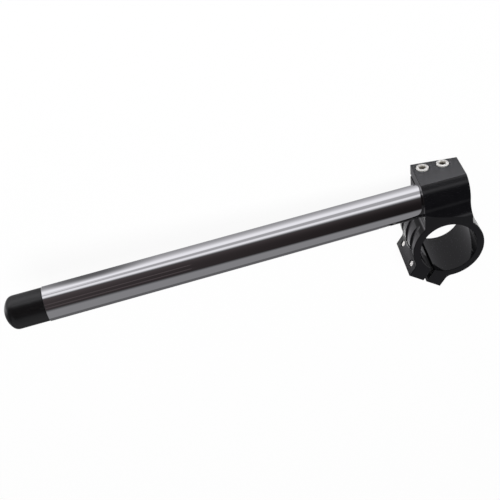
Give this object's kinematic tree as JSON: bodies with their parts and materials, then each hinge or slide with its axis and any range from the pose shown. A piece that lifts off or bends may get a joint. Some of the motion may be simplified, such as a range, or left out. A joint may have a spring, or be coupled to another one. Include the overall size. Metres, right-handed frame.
{
  "type": "clip-on handlebar",
  "caption": "Clip-on motorcycle handlebar: black split fork clamp with pinch ears and a slanted bar clamp, chromed tube and round end plug.",
  "frame": {"origin": "middle of the fork clamp's bore, on its axis and half way between its two faces", "axes": "+Z along the fork axis, towards the face that the picture shows; +Y from the fork to the bar; the bar runs out to -X and rises 10 degrees to its end"},
  "size_m": [0.3086, 0.0784, 0.0803],
  "materials": {
    "black_anodised": "black anodised, satin, milled",
    "chrome_tube": "bright chrome plating on steel tube",
    "black_plug": "moulded, satin",
    "zinc_screw": "bright zinc plating"
  },
  "bodies": {
    "root": {"clamp_bracket": "black_anodised", "bar_tube": "chrome_tube", "end_plug": "black_plug", "clamp_screw_outer": "zinc_screw", "clamp_screw_inner": "zinc_screw", "pinch_screw_front": "zinc_screw", "pinch_screw_back": "zinc_screw"}
  },
  "joints": []
}
